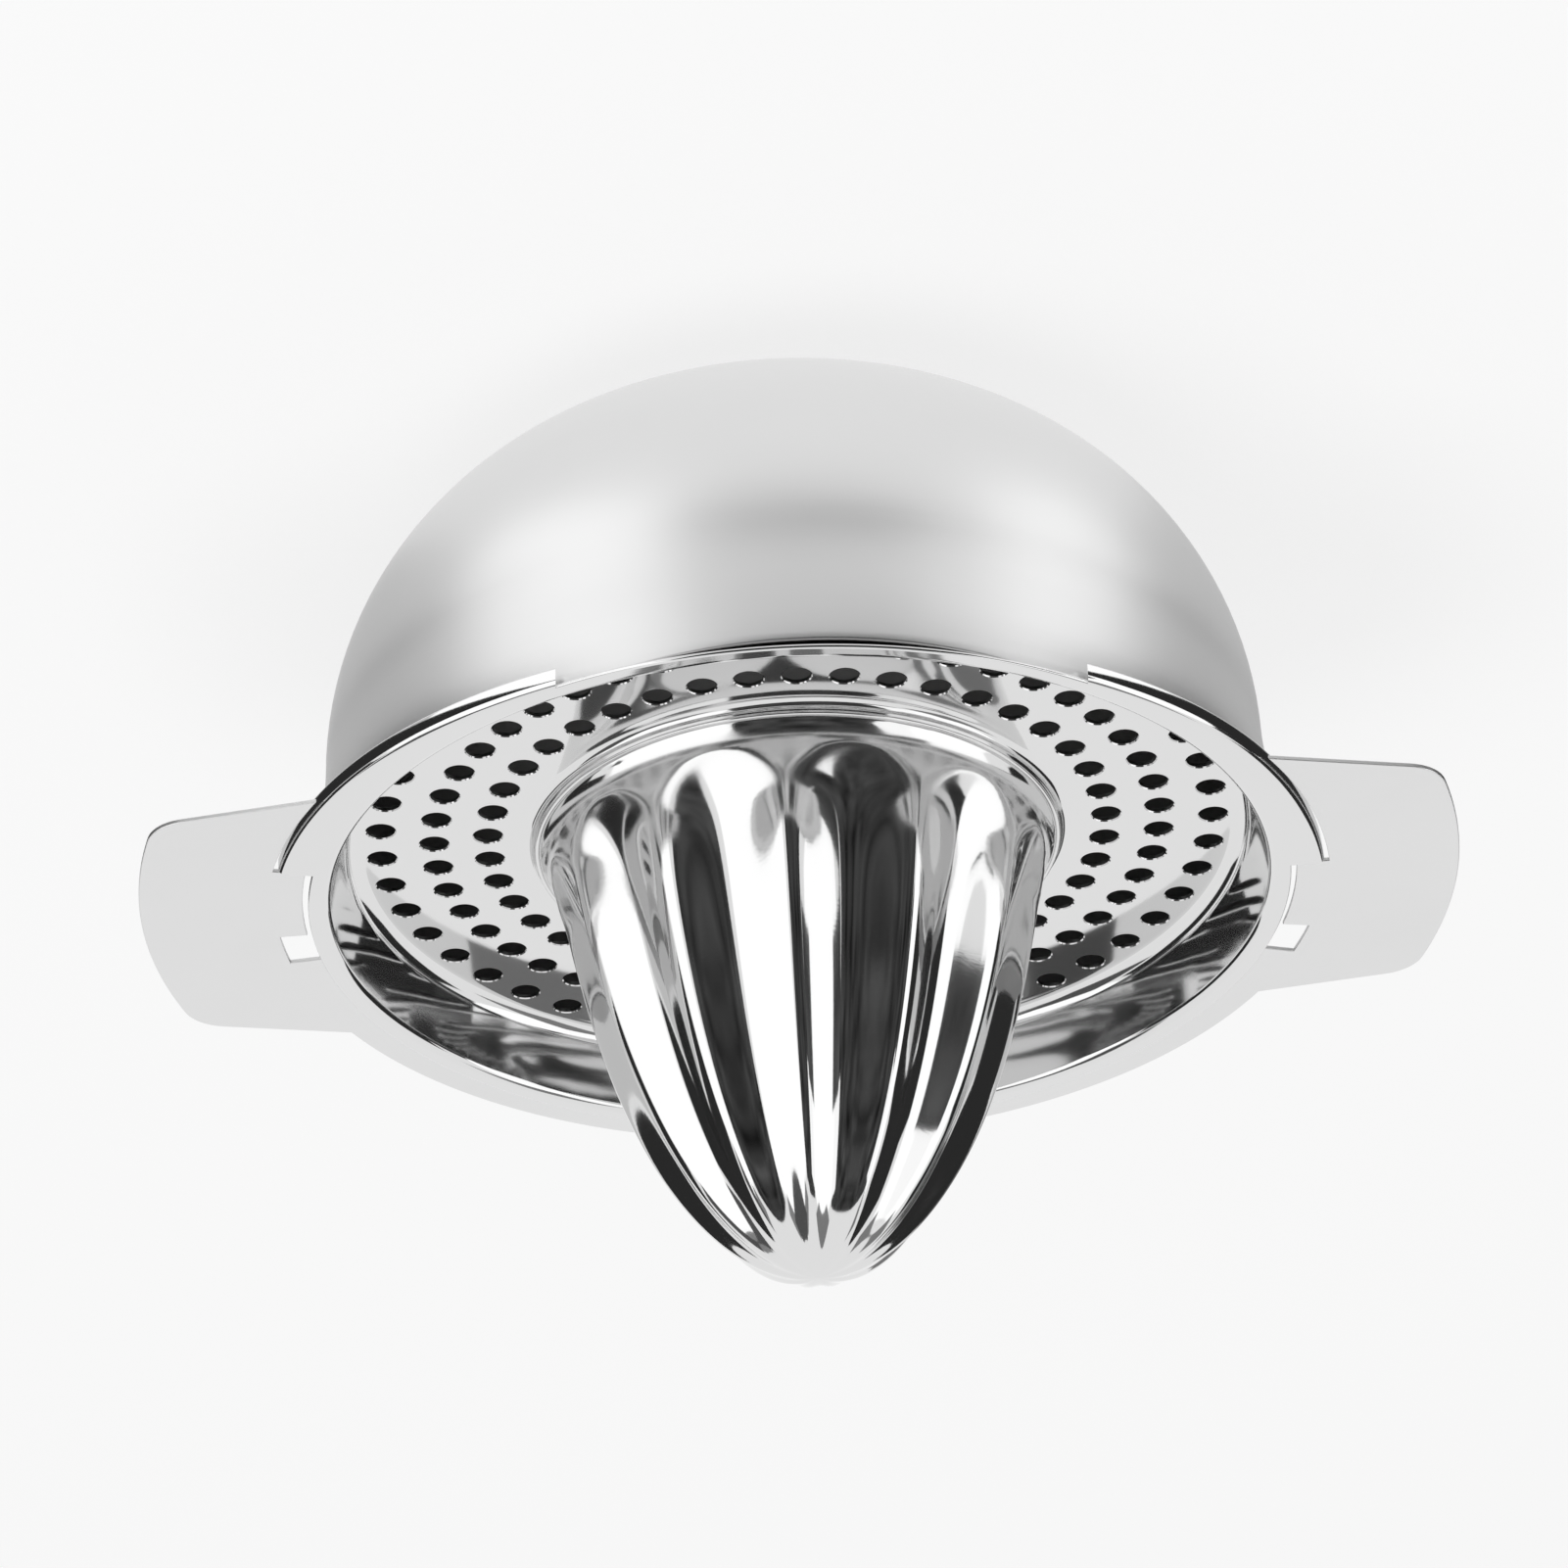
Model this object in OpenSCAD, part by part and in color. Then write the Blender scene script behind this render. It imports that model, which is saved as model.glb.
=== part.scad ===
// Two-part citrus squeezer in stainless sheet.
// A round bowl carries a flat rim plate with two handles.
// A strainer tray with a fluted reamer lies on the rim and lifts out.
// Millimetres. The bowl stands on the XY plane and the handles lie along X.
// Juice is poured over the plain part of the rim on the -Y side.

/* [Bowl] */
// Outer radius of the bowl at its rim
rim_r = 61.5; // [57:0.5:70]
// Height of the rim above the table
bowl_h = 59.4; // [54:0.2:75]
// Height of the straight band below the rim
rim_band = 3; // [2:0.5:6]
// How far the wall draws in from the rim band down to the belly
wall_lean = 1.3; // [0.5:0.1:4]
// Outer radius of the belly curve in section
belly_curve = 44.8; // [40:0.2:50]
// Outer radius of the flat base
base_r = 34.2; // [28:0.2:42]
// Thickness of the bowl sheet
bowl_sheet = 0.6; // [0.4:0.1:1]
// Width of the dip in the rim for pouring
pour_w = 52; // [30:1:56]
// Depth of the dip in the rim for pouring
pour_d = 1.2; // [0.6:0.1:3]

/* [Rim plate and handles] */
// Thickness of the rim plate
plate_sheet = 0.6; // [0.4:0.1:1]
// Width of the plate band on the far side, out from the rim
band_w = 5.3; // [4:0.1:9]
// Length from handle tip to handle tip
handle_span = 167.6; // [156:0.2:190]
// Width of a handle where it meets the rim
handle_w = 59.4; // [44:0.2:66]
// Angle of a handle's side edges to its length
handle_taper = 11.3; // [4:0.1:16]
// Corner radius at a handle's tip
handle_corner = 6; // [2:0.5:12]
// Width of the slot between the rim and the root of a handle
slot_w = 1.7; // [1.4:0.1:3]
// Width of the window at the far end of that slot
window_w = 5.2; // [3:0.1:7]
// Angle of the window's near end
window_start = 7; // [4:0.1:9]
// Angle of the window's far end
window_end = 13; // [11:0.1:18]

/* [Strainer] */
// Thickness of the strainer sheet
tray_sheet = 0.6; // [0.4:0.1:1]
// Depth of the tray from the top of its rim to its floor
tray_depth = 10; // [7:0.5:16]
// Turn of the strainer and its seat about the bowl, from the handles
seat_turn = -4; // [-8:0.5:8]
// Gap inside the rim before the strainer's edge bends down
seat_gap = 0.1; // [0.1:0.05:0.5]
// How far the strainer's rim ring reaches past the bowl's rim
ring_reach = 1; // [0.6:0.1:1.4]
// Radius of the bend from the tray wall to the rim ring
bend_r = 1.2; // [1.1:0.1:2]
// Lean of the tray wall from upright
tray_lean = 12; // [4:1:20]
// Radius of the fillet between the tray floor and wall
tray_fillet = 2.5; // [1:0.1:3]
// Diameter of a drain hole
hole_d = 3.7; // [2.5:0.1:4.4]
// Flat floor between the collar's fillet and the centres of the inner row
row_margin_in = 4.75; // [4.4:0.05:6]
// Flat floor between the centres of the outer row and the wall's fillet
row_margin_out = 2.4; // [2.4:0.1:4]
// Drain holes in the inner row
row_1_count = 42; // [24:1:48]
// Drain holes in the middle row
row_2_count = 48; // [24:1:56]
// Drain holes in the outer row
row_3_count = 48; // [24:1:64]

/* [Skirts] */
// How far a skirt's outline radius exceeds the rim's radius
skirt_reach = 2.5; // [2.3:0.1:3.5]
// Sideways offset of a skirt's outline from the bowl's axis
skirt_dx = 3.2; // [2.6:0.1:4]
// Offset of a skirt's outline towards the far side
skirt_dy = 2.8; // [2:0.1:3]
// Height of a skirt from the top of the rim ring to its lower edge
skirt_drop = 2.5; // [1.5:0.1:5]
// Width of the pouring notch between the two skirts
notch_w = 64; // [58:0.5:72]
// Angle of a skirt's end, below the crosswise line
skirt_end = 8; // [7.5:0.5:14]
// Gap between a skirt and the rim plate around it
skirt_gap = 0.6; // [0.4:0.1:1.2]

/* [Reamer] */
// Thickness of the reamer sheet
reamer_sheet = 0.6; // [0.4:0.1:1]
// Outer radius of the reamer at its foot
reamer_r = 33; // [28:0.5:33.5]
// Height of the reamer's tip above the tray floor
reamer_h = 62.7; // [50:0.1:75]
// How far the ridges start in from the foot's radius
ridge_inset = 0.5; // [0.2:0.1:2]
// Lean of the ridges from upright
ridge_lean = 10.5; // [4:0.1:14]
// How blunt the tip is, as the power of its curve
tip_blunt = 3.5; // [2.5:0.1:7]
// Number of hollow flutes around the reamer
flutes = 11; // [8:1:14]
// Turn of the first flute from the crosswise line of the tray
flute_turn = 31; // [0:0.5:36]
// Depth of a flute as a share of the radius there
flute_depth = 0.12; // [0.06:0.01:0.16]
// Height above the tray floor where the flutes' round lower ends begin
flute_start = 4.6; // [3:0.1:8]
// Height of the flutes' round lower ends
flute_end = 5.9; // [3:0.1:10]
// Lean of the short cone between the foot and the ridges, as a run per rise
foot_lean = 1.1; // [0.7:0.05:1.6]
// Width of the foot flange that is welded under the flat tray floor
weld_w = 1.4; // [1:0.1:2]
// Height of the turned-up collar around the foot
collar_h = 1.8; // [1.4:0.1:2.6]
// Radius of the fillet at the bottom of the collar
collar_fillet = 1.2; // [0.6:0.1:1.3]
// Gap between the foot and the collar
foot_gap = 0.05; // [0.05:0.05:0.2]

/* [Hidden] */
$fn = 96;
satin = [0.80, 0.80, 0.81];
mirror_steel = [0.88, 0.89, 0.90];

// Bowl section
belly_r = rim_r - wall_lean;
belly_x = belly_r - belly_curve;
belly_z = sqrt(pow(belly_curve, 2) - pow(base_r - belly_x, 2));
rim_inner_r = rim_r - bowl_sheet;
arc_steps = 20;
pour_r = (pow(pour_w / 2, 2) + pow(pour_d, 2)) / (2 * pour_d);

// Levels above the table
ring_z = bowl_h + tray_sheet;
floor_z = ring_z - tray_depth;
plate_z = bowl_h - plate_sheet;

// Rim plate outline
band_r = rim_r + band_w;
tip_r = handle_span / 2;
edge_along = [cos(handle_taper), -sin(handle_taper)];
edge_out = [sin(handle_taper), cos(handle_taper)];
edge_dist = edge_out * [rim_r, handle_w / 2];
corner_in = edge_dist - handle_corner;
corner_run = sqrt(pow(tip_r - handle_corner, 2) - pow(corner_in, 2));
corner_at = edge_along * corner_run + edge_out * corner_in;
corner_angle = atan2(corner_at[1], corner_at[0]);
edge_root = edge_out * edge_dist;
band_start = edge_root + edge_along * sqrt(pow(band_r, 2) - pow(edge_dist, 2));
band_angle = atan2(band_start[1], band_start[0]);
reach = 3 * tip_r;

// Strainer section, as radius and height above the tray floor
ring_r = rim_r + ring_reach;
skirt_r = rim_r + skirt_reach;
bend_x = rim_inner_r - seat_gap;
bend_s = tray_depth - bend_r;
wall_top_x = bend_x - bend_r * cos(tray_lean);
wall_top_s = bend_s + bend_r * sin(tray_lean);
wall_foot_s = tray_fillet * (1 - sin(tray_lean));
fillet_x = wall_top_x - (wall_top_s - wall_foot_s) * tan(tray_lean) - tray_fillet * cos(tray_lean);
collar_r = reamer_r + foot_gap;
collar_x = collar_r + tray_sheet + collar_fillet;
row_1_r = collar_x + row_margin_in;
row_3_r = fillet_x - row_margin_out;
row_2_r = (row_1_r + row_3_r) / 2;

// Reamer shape, as radius over height above the tray floor
flute_steps = 8;
around = flutes * flute_steps;
rises = 18;
flange_r = collar_x + weld_w;

function arc(cx, cy, r, from, to, steps = arc_steps) =
    [for (i = [0:steps]) let (a = from + (to - from) * i / steps) [cx + r * cos(a), cy + r * sin(a)]];

// All points of a list but the first and the last
function inner_points(list) = [for (i = [1:len(list) - 2]) list[i]];

// A list of points in reverse order on the other side of the YZ plane
function flipped(list) = [for (i = [len(list) - 1:-1:0]) [-list[i][0], list[i][1]]];

// Lower end of the belly curve, as an angle about the curve's centre
function base_angle(r, level) = -asin((belly_z - level) / r);

function ridge_r(s) =
    (reamer_r - ridge_inset - tan(ridge_lean) * s) * sqrt(max(0, 1 - pow(s / reamer_h, tip_blunt)));
function foot_r(s) = reamer_r - foot_lean * (s - collar_h);

// Depth of a flute at a height and at an angle from its middle, with the round lower end
function end_share(s) = min(1, max(0, (s - flute_start) / flute_end));
function end_depth(s) = pow(end_share(s), 2) * (3 - 2 * end_share(s));
function flute_cut(s, a) =
    flute_depth * ridge_r(s) * max(0, end_depth(s) - 1 + pow(abs(cos(flutes * a / 2)), 1.4));
function outer_r(s, a) = max(foot_r(s), ridge_r(s) - flute_cut(s, a));

// Heights of the rings from the foot to the tip, closer at both ends
function rise(i) =
    collar_h + (reamer_h - collar_h) * (i / rises - 0.11 * sin(360 * i / rises));

// One ring of points around the reamer
function round_ring(r, s) =
    [for (i = [0:around - 1]) let (a = 360 * i / around) [r * cos(a), r * sin(a), s]];
function flute_ring(s, inset) =
    [for (i = [0:around - 1]) let (a = 360 * i / around, r = outer_r(s, a) - inset)
        [r * cos(a), r * sin(a), s - inset]];

module seat_frame() {
    rotate([0, 0, seat_turn]) children();
}

module both_sides() {
    children();
    mirror([1, 0, 0]) children();
}

// Plan area of one skirt between the pouring notch and the skirt's end
module skirt_area(grow) {
    near_x = notch_w / 2 - grow;
    polygon([
        [near_x, -reach],
        [reach, -reach],
        [reach, -reach * tan(skirt_end) + grow],
        [near_x, -near_x * tan(skirt_end) + grow]
    ]);
}

// Plan outline inside a skirt's outer edge
module skirt_disc(grow) {
    translate([skirt_dx, skirt_dy]) circle(skirt_r + grow);
}

module sector(r, from, to) {
    intersection() {
        circle(r);
        polygon([[0, 0], reach * [cos(from), sin(from)], reach * [cos(to), sin(to)]]);
    }
}

// Bowl

module bowl_section() {
    outer_end = base_angle(belly_curve, 0);
    inner_curve = belly_curve - bowl_sheet;
    inner_end = base_angle(inner_curve, bowl_sheet);
    polygon(concat(
        [[0, 0]],
        arc(belly_x, belly_z, belly_curve, outer_end, 0),
        [[rim_r, bowl_h - rim_band], [rim_r, bowl_h]],
        [[rim_inner_r, bowl_h], [rim_inner_r, bowl_h - rim_band]],
        arc(belly_x, belly_z, inner_curve, 0, inner_end),
        [[0, bowl_sheet]]
    ));
}

module pour_dip() {
    seat_frame() translate([0, 0, bowl_h - pour_d + pour_r]) rotate([90, 0, 0]) {
        cylinder(r = pour_r, h = 2 * rim_r);
    }
}

module bowl() {
    color(satin) difference() {
        rotate_extrude() bowl_section();
        pour_dip();
    }
}

// Rim plate with the two handles

// Half of the plate's outline: one handle, from its near root round to the far band
function handle_side() = concat(
    [[edge_root[0], -edge_root[1]]],
    arc(corner_at[0], -corner_at[1], handle_corner, handle_taper - 90, -corner_angle, 12),
    inner_points(arc(0, 0, tip_r, -corner_angle, corner_angle, 32)),
    arc(corner_at[0], corner_at[1], handle_corner, corner_angle, 90 - handle_taper, 12),
    [band_start]
);

module root_cuts() {
    sector(rim_r + slot_w, -skirt_end, window_end);
    sector(rim_r + window_w, window_start, window_end);
    intersection() {
        skirt_disc(skirt_gap);
        skirt_area(skirt_gap);
    }
}

module handle_rim() {
    color(satin) translate([0, 0, plate_z]) linear_extrude(plate_sheet) difference() {
        polygon(concat(
            handle_side(),
            inner_points(arc(0, 0, band_r, band_angle, 180 - band_angle, 64)),
            flipped(handle_side())
        ));
        circle(rim_r);
        seat_frame() both_sides() root_cuts();
    }
}

// Strainer tray

module tray_section() {
    polygon(concat(
        [[collar_r, collar_h], [collar_r + tray_sheet, collar_h]],
        arc(collar_x, collar_fillet, collar_fillet, 180, 270, 8),
        arc(fillet_x, tray_fillet, tray_fillet, -90, -tray_lean, 10),
        arc(bend_x, bend_s, bend_r, 180 - tray_lean, 90, 8),
        [[ring_r, tray_depth], [ring_r, tray_depth - tray_sheet]],
        arc(bend_x, bend_s, bend_r - tray_sheet, 90, 180 - tray_lean, 8),
        arc(fillet_x, tray_fillet, tray_fillet + tray_sheet, -tray_lean, -90, 10),
        arc(collar_x, collar_fillet, collar_fillet + tray_sheet, 270, 180, 8)
    ));
}

// One row of drain holes, turned by a share of the step between holes
module hole_row(count, r, share) {
    for (i = [0:count - 1]) rotate([0, 0, 360 * (i + share) / count]) {
        translate([r, 0, -2 * tray_sheet]) cylinder(d = hole_d, h = 4 * tray_sheet, $fn = 32);
    }
}

module skirt() {
    translate([0, 0, tray_depth - tray_sheet]) linear_extrude(tray_sheet) difference() {
        intersection() {
            skirt_disc(0);
            skirt_area(0);
        }
        circle((bend_x + ring_r) / 2);
    }
    translate([0, 0, tray_depth - skirt_drop]) linear_extrude(skirt_drop) difference() {
        intersection() {
            skirt_disc(0);
            skirt_area(0);
        }
        skirt_disc(-tray_sheet);
    }
}

module strainer() {
    color(mirror_steel) translate([0, 0, floor_z]) seat_frame() {
        difference() {
            rotate_extrude() tray_section();
            hole_row(row_1_count, row_1_r, 0.84);
            hole_row(row_2_count, row_2_r, 0.16);
            hole_row(row_3_count, row_3_r, 0.66);
        }
        both_sides() skirt();
    }
}

// Reamer

module reamer() {
    inner_rings = [for (i = [rises - 2:-2:0]) flute_ring(rise(i), reamer_sheet)];
    foot_rings = [
        round_ring(reamer_r - reamer_sheet, -tray_sheet - reamer_sheet),
        round_ring(flange_r, -tray_sheet - reamer_sheet),
        round_ring(flange_r, -tray_sheet),
        round_ring(reamer_r, -tray_sheet)
    ];
    outer_rings = [for (i = [0:rises - 1]) flute_ring(rise(i), 0)];
    rings = concat(inner_rings, foot_rings, outer_rings);
    last = len(rings) - 1;
    points = concat(
        [for (ring = rings) each ring],
        [[0, 0, reamer_h - 2 * reamer_sheet], [0, 0, reamer_h]]
    );
    inner_tip = len(points) - 2;
    outer_tip = len(points) - 1;
    sides = [
        for (k = [0:last - 1], i = [0:around - 1])
            let (j = (i + 1) % around, a = k * around, b = (k + 1) * around)
                each [[a + i, b + j, a + j], [a + i, b + i, b + j]]
    ];
    inner_cap = [for (i = [0:around - 1]) [inner_tip, i, (i + 1) % around]];
    outer_cap = [for (i = [0:around - 1]) [outer_tip, last * around + (i + 1) % around, last * around + i]];
    color(mirror_steel) translate([0, 0, floor_z]) seat_frame() rotate([0, 0, flute_turn]) {
        polyhedron(points, concat(sides, inner_cap, outer_cap));
    }
}

bowl();
handle_rim();
strainer();
reamer();
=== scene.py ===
"""Looks of the citrus squeezer: four pieces of sheet steel, their finishes and a small studio.

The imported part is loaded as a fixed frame. Each piece is modelled again at a finer pitch,
in metres and in the place of its CAD node, and takes over from that node.
"""

import logging
import math
from dataclasses import dataclass, replace
from enum import Enum
from typing import Any, Callable, ClassVar, Sequence

import bmesh
import bpy
from mathutils import Matrix, Vector


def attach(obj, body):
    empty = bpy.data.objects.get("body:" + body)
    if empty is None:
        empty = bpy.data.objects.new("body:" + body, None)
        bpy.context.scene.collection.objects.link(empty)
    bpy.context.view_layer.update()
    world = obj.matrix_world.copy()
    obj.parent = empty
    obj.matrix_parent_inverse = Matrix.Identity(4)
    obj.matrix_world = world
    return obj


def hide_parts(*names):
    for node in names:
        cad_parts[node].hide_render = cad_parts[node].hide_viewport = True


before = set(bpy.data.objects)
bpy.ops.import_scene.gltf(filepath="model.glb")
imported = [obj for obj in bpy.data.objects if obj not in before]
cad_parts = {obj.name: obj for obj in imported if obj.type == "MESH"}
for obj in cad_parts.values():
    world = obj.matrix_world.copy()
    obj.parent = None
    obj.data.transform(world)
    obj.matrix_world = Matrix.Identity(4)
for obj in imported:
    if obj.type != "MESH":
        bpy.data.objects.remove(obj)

MM = 0.001
WELD = 0.002 * MM
PHOTO_PX = 1601
MIDDLE_Z = 60 * MM

Spot = tuple[float, float]

log = logging.getLogger("squeezer")


def arc(x: float, y: float, radius: float, start: float, end: float, steps: int) -> list[Spot]:
    """Points along a circular arc.

    Args:
        x: First coordinate of the centre.
        y: Second coordinate of the centre.
        radius: Radius of the arc.
        start: First angle in degrees.
        end: Last angle in degrees.
        steps: Number of chords.

    Returns:
        The points, both ends included.
    """
    turns = [math.radians(start + (end - start) * i / steps) for i in range(steps + 1)]
    return [(x + radius * math.cos(a), y + radius * math.sin(a)) for a in turns]


def corner(before: Spot, tip: Spot, after: Spot, steps: int) -> list[Spot]:
    """Points that round a corner from one leg to the other.

    Args:
        before: Where the rounding leaves the first leg.
        tip: The sharp corner.
        after: Where the rounding joins the second leg.
        steps: Number of chords.

    Returns:
        The points, both ends included.
    """
    found = []
    for i in range(steps + 1):
        t = i / steps
        weights = ((1 - t) ** 2, 2 * t * (1 - t), t * t)
        found.append(tuple(sum(w * p[k] for w, p in zip(weights, (before, tip, after))) for k in (0, 1)))
    return found


def ease(t: float) -> float:
    """A smooth rise from 0 to 1 as t goes from 0 to 1."""
    t = min(1.0, max(0.0, t))
    return t * t * (3 - 2 * t)


def rounded_max(a: float, b: float, width: float) -> float:
    """The larger of two values, with the change from one to the other rounded off.

    Args:
        a: One value.
        b: The other value.
        width: Difference of the values below which the change is rounded.

    Returns:
        The rounded maximum.
    """
    near = max(0.0, width - abs(a - b))
    return max(a, b) + near * near / (4 * width)


def turned(spot: Spot, angle: float) -> Spot:
    """A point turned about the origin by an angle in radians."""
    c, s = math.cos(angle), math.sin(angle)
    return (spot[0] * c - spot[1] * s, spot[0] * s + spot[1] * c)


def bearing(spot: Spot) -> float:
    """The direction of a point from the origin, in degrees."""
    return math.degrees(math.atan2(spot[1], spot[0]))


def along(start: Spot, way: Spot, centre: Spot, radius: float) -> Spot:
    """Where a straight line leaves a circle.

    Args:
        start: A point on the line.
        way: Unit direction of the line.
        centre: Centre of the circle.
        radius: Radius of the circle.

    Returns:
        The last point of the line that lies on the circle.
    """
    dx, dy = start[0] - centre[0], start[1] - centre[1]
    b = dx * way[0] + dy * way[1]
    t = -b + math.sqrt(b * b - (dx * dx + dy * dy - radius * radius))
    return (start[0] + way[0] * t, start[1] + way[1] * t)


class Bench:
    """Drives the modelling operators, one object at a time."""

    @staticmethod
    def clear() -> None:
        """Leaves edit mode and deselects every object."""
        if bpy.context.object and bpy.context.object.mode != "OBJECT":
            bpy.ops.object.mode_set(mode="OBJECT")
        bpy.ops.object.select_all(action="DESELECT")

    @staticmethod
    def take(obj: bpy.types.Object) -> None:
        """Makes one object the only selected and active one."""
        Bench.clear()
        obj.select_set(True)
        bpy.context.view_layer.objects.active = obj

    @staticmethod
    def named(name: str) -> bpy.types.Object:
        """Names the primitive that was just added and puts its place into its mesh.

        Args:
            name: Name of the object and of its mesh.

        Returns:
            The object.
        """
        obj = bpy.context.object
        obj.name = obj.data.name = name
        bpy.ops.object.transform_apply(location=True, rotation=True, scale=True)
        return obj

    @staticmethod
    def edit(mode: str = "EDGE") -> None:
        """Enters edit mode with everything selected."""
        bpy.ops.object.mode_set(mode="EDIT")
        bpy.ops.mesh.select_mode(type=mode)
        bpy.ops.mesh.select_all(action="SELECT")

    @staticmethod
    def extrude(move: Sequence[float]) -> None:
        """Extrudes what is selected by one step."""
        bpy.ops.mesh.extrude_region_move(TRANSFORM_OT_translate={"value": move})

    @staticmethod
    def copy_round(count: int) -> None:
        """Copies the whole mesh round the Z axis until there are as many as wanted."""
        bpy.ops.mesh.select_all(action="SELECT")
        sweep = math.tau * (count - 1) / count
        bpy.ops.mesh.spin(steps=count - 1, angle=sweep, center=(0, 0, 0), axis=(0, 0, 1), dupli=True)

    @staticmethod
    def draw(name: str, points: Sequence[Vector]) -> bpy.types.Object:
        """Draws a chain of edges: a plane shrunk to one vertex and extruded from point to point.

        Args:
            name: Name of the object.
            points: The points of the chain.

        Returns:
            The object, in edit mode.
        """
        Bench.clear()
        bpy.ops.mesh.primitive_plane_add(size=MM, location=points[0])
        obj = Bench.named(name)
        Bench.edit("VERT")
        bpy.ops.mesh.merge(type="CENTER")
        for here, there in zip(points, points[1:]):
            Bench.extrude(there - here)
        return obj

    @staticmethod
    def lathe(name: str, section: Sequence[Spot], steps: int) -> bpy.types.Object:
        """Draws a section of radius and height and spins it about the Z axis.

        Args:
            name: Name of the object.
            section: Points of the section as radius and height.
            steps: Number of steps around.

        Returns:
            The object, in object mode.
        """
        obj = Bench.draw(name, [Vector((r, 0, z)) for r, z in section])
        bpy.ops.mesh.select_all(action="SELECT")
        bpy.ops.mesh.spin(steps=steps, angle=math.tau, center=(0, 0, 0), axis=(0, 0, 1))
        Bench.weld()
        return obj

    @staticmethod
    def weld() -> None:
        """Merges doubles, turns the faces outwards and leaves edit mode."""
        bpy.ops.mesh.select_all(action="SELECT")
        bpy.ops.mesh.remove_doubles(threshold=WELD)
        bpy.ops.mesh.normals_make_consistent(inside=False)
        bpy.ops.object.mode_set(mode="OBJECT")

    @staticmethod
    def pick_edges(obj: bpy.types.Object, test: Callable[[bmesh.types.BMEdge], bool]) -> None:
        """Selects the edges that pass a test, in edit mode.

        Args:
            obj: The object that is being edited.
            test: Says whether an edge is wanted.
        """
        bpy.ops.mesh.select_all(action="DESELECT")
        shape = bmesh.from_edit_mesh(obj.data)
        for edge in shape.edges:
            if test(edge):
                edge.select_set(True)
        bmesh.update_edit_mesh(obj.data)

    @staticmethod
    def join(first: bpy.types.Object, *others: bpy.types.Object) -> bpy.types.Object:
        """Joins other objects into the first one and returns it."""
        Bench.take(first)
        for other in others:
            other.select_set(True)
        bpy.ops.object.join()
        return first

    @staticmethod
    def apply(obj: bpy.types.Object, kind: str, **settings: Any) -> None:
        """Adds a modifier with its settings and applies it.

        Args:
            obj: The object that gets the modifier.
            kind: Type of the modifier.
            **settings: Its settings by name.
        """
        Bench.take(obj)
        modifier = obj.modifiers.new(kind.lower(), kind)
        for key, value in settings.items():
            setattr(modifier, key, value)
        bpy.ops.object.modifier_apply(modifier=modifier.name)

    @staticmethod
    def smooth(obj: bpy.types.Object, angle: float) -> None:
        """Shades an object smooth across edges up to an angle in degrees."""
        Bench.take(obj)
        bpy.ops.object.shade_smooth_by_angle(angle=math.radians(angle))


class Wire:
    """A shader socket that takes part in plain arithmetic."""

    def __init__(self, bench: "ShaderBench", socket: bpy.types.NodeSocket) -> None:
        """Wraps one output socket of a material's nodes."""
        self.bench = bench
        self.socket = socket

    def math(self, operation: str, *others: "Wire | float", swap: bool = False) -> "Wire":
        """Adds one Math node.

        Args:
            operation: What the node does.
            *others: Its further inputs.
            swap: Whether this value is the second input.

        Returns:
            The node's result.
        """
        values = [*others, self] if swap else [self, *others]
        return self.bench.node("ShaderNodeMath", {"operation": operation}, dict(enumerate(values)))

    def __add__(self, other: "Wire | float") -> "Wire":
        """This value plus another."""
        return self.math("ADD", other)

    def __sub__(self, other: "Wire | float") -> "Wire":
        """This value minus another."""
        return self.math("SUBTRACT", other)

    def __rsub__(self, other: float) -> "Wire":
        """A number minus this value."""
        return self.math("SUBTRACT", other, swap=True)

    def __mul__(self, other: "Wire | float") -> "Wire":
        """This value times another."""
        return self.math("MULTIPLY", other)

    __radd__ = __add__
    __rmul__ = __mul__


class ShaderBench:
    """Builds the nodes of one material or world."""

    def __init__(self, owner: bpy.types.Material | bpy.types.World) -> None:
        """Turns on the owner's nodes and clears them."""
        owner.use_nodes = True
        self.tree = owner.node_tree
        self.tree.nodes.clear()

    def node(self, kind: str, settings: dict[str, Any], sockets: dict[Any, Any], out: Any = 0) -> Wire:
        """Adds a node.

        Args:
            kind: Type of the node.
            settings: Its properties by name.
            sockets: Values or wires for its inputs, by name or number.
            out: Name or number of the output that is wanted.

        Returns:
            That output.
        """
        made = self.tree.nodes.new(kind)
        for key, value in settings.items():
            setattr(made, key, value)
        for key, value in sockets.items():
            if isinstance(value, Wire):
                self.tree.links.new(value.socket, made.inputs[key])
            else:
                made.inputs[key].default_value = value
        return Wire(self, made.outputs[out]) if made.outputs else Wire(self, None)


class Brushing(Enum):
    """Which way the marks of polishing run."""

    ROUND = "round the axis"
    STRAIGHT = "along the handles"


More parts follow.
